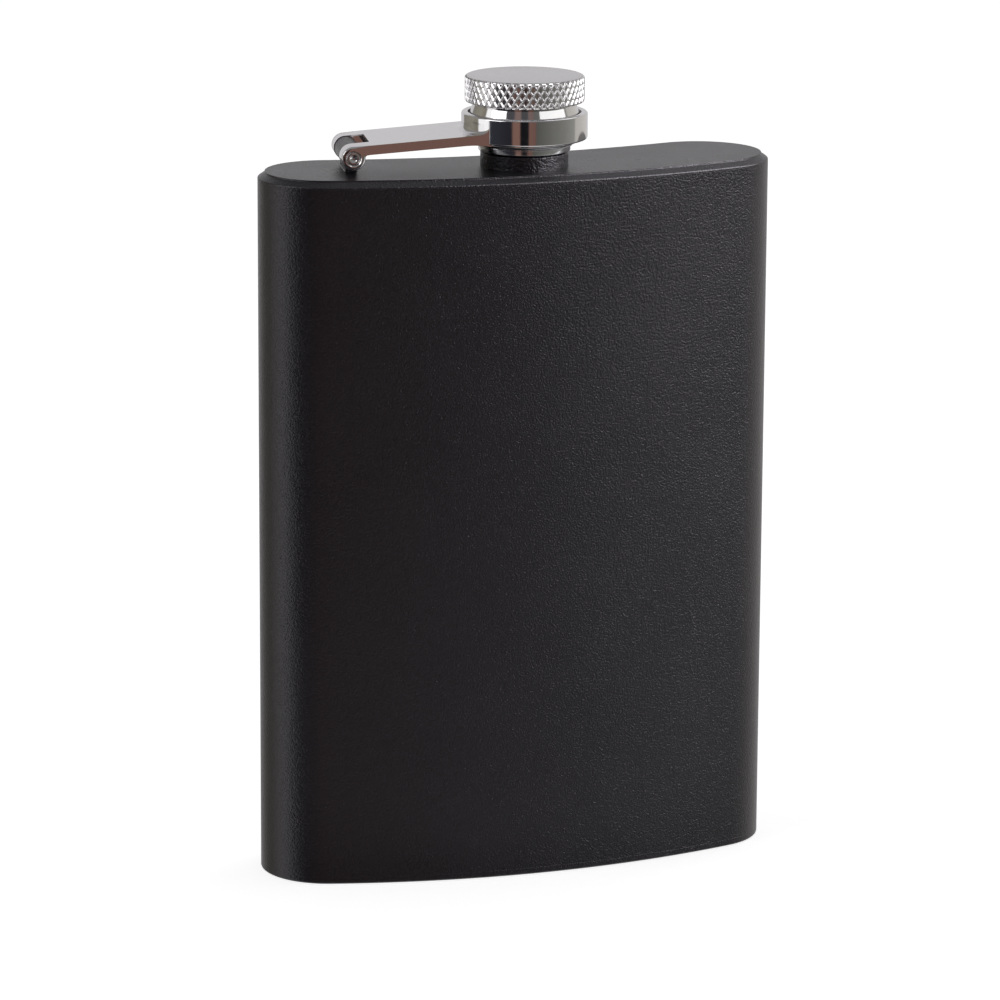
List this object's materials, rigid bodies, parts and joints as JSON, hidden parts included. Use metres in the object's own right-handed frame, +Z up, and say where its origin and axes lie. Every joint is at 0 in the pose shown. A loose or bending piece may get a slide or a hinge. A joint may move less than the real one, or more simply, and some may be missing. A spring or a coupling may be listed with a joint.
{
  "type": "hip flask",
  "caption": "Curved kidney-section metal hip flask with a screw cap held captive in the collar of a swinging arm hinged on the top plate.",
  "frame": {"origin": "centre of the bounding box's base, under the middle of the body's overall depth", "axes": "+Z up along the neck; -Y is the rounded front face, +Y the hollowed back; the arm's hinge is toward -X"},
  "size_m": [0.094, 0.029, 0.1422],
  "materials": {
    "powder_coat": "matte textured powder coat",
    "coated_fitting": "satin coat",
    "polished_arm": "polished sides, satin top",
    "knurled_steel": "satin, knurled edge",
    "machined_steel": "fine turned",
    "silicone": "smooth"
  },
  "bodies": {
    "flask": {"body_shell": "powder_coat", "top_plate": "powder_coat", "bottom_plate": "powder_coat", "neck": "coated_fitting", "hinge_lug": "coated_fitting", "hinge_pin": "polished_arm"},
    "arm": {"captive_arm": "polished_arm"},
    "clip": {"retaining_ring": "machined_steel"},
    "cap": {"cap_shell": "knurled_steel", "thread_sleeve": "machined_steel", "cap_gasket": "silicone"}
  },
  "joints": [
    {"name": "arm_swing", "type": "hinge", "parent": "flask", "child": "arm", "pos_m": [-0.0305, 0.00375, 0.1292], "axis": [-0.1868, -0.9824, 0], "range_deg": [0, 120]},
    {"name": "cap_lift", "type": "slide", "parent": "arm", "child": "clip", "axis": [0, 0, 1], "range_m": [0, 0.0019]},
    {"name": "cap_turn", "type": "hinge", "parent": "clip", "child": "cap", "pos_m": [0, -0.00205, 0.14], "axis": [0, 0, 1], "range_deg": [0, 360]}
  ],
  "couplings": [
    {"joint": "cap_lift", "follows": "cap_turn", "m_per_rad": 0.00028648}
  ]
}
